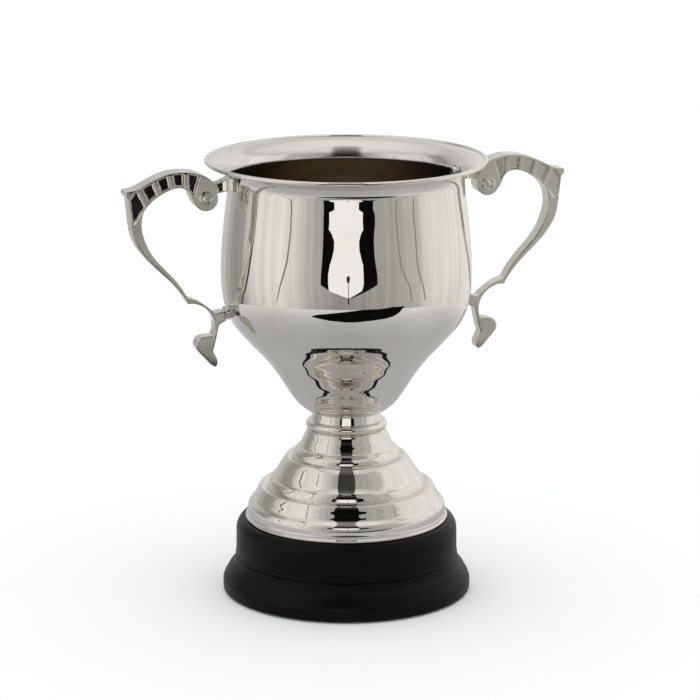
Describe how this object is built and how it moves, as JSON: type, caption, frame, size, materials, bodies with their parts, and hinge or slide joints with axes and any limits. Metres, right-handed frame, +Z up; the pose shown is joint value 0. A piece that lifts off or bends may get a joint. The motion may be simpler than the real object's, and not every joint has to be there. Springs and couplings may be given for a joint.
{
  "type": "cup trophy",
  "caption": "Trophy cup with side handles, a flared mouth and a stepped foot, bolted to a round moulded black plinth.",
  "frame": {"origin": "centre of the resting face, under the felt pad", "axes": "+Z up along the cup's axis of turning, X through both handles, the front of the cup towards -Y"},
  "size_m": [0.206, 0.1278, 0.2009],
  "materials": {
    "nickel_sheet": "mirror-polished nickel plate on spun brass sheet",
    "nickel_casting": "polished nickel plate on a cast handle, slightly soft at the edges",
    "nickel_fastener": "bright nickel-plated fastener",
    "zinc_steel": "bright zinc-plated steel",
    "plinth_lacquer": "turned hardwood, ebonised and lacquered satin black",
    "felt": "dark green wool felt"
  },
  "bodies": {
    "root": {"felt_pad": "felt", "plinth": "plinth_lacquer", "plinth_washer": "zinc_steel", "plinth_nut": "zinc_steel", "foot": "nickel_sheet", "foot_washer": "zinc_steel", "foot_nut": "zinc_steel", "neck_ring": "nickel_sheet", "bowl": "nickel_sheet", "rim_wire": "nickel_sheet", "bowl_washer": "nickel_fastener", "centre_bolt": "nickel_fastener", "left_handle": "nickel_casting", "left_upper_washer": "nickel_fastener", "left_upper_screw": "nickel_fastener", "left_lower_collar": "nickel_casting", "left_lower_washer": "nickel_fastener", "left_lower_screw": "nickel_fastener", "right_handle": "nickel_casting", "right_upper_washer": "nickel_fastener", "right_upper_screw": "nickel_fastener", "right_lower_collar": "nickel_casting", "right_lower_washer": "nickel_fastener", "right_lower_screw": "nickel_fastener"}
  },
  "joints": []
}
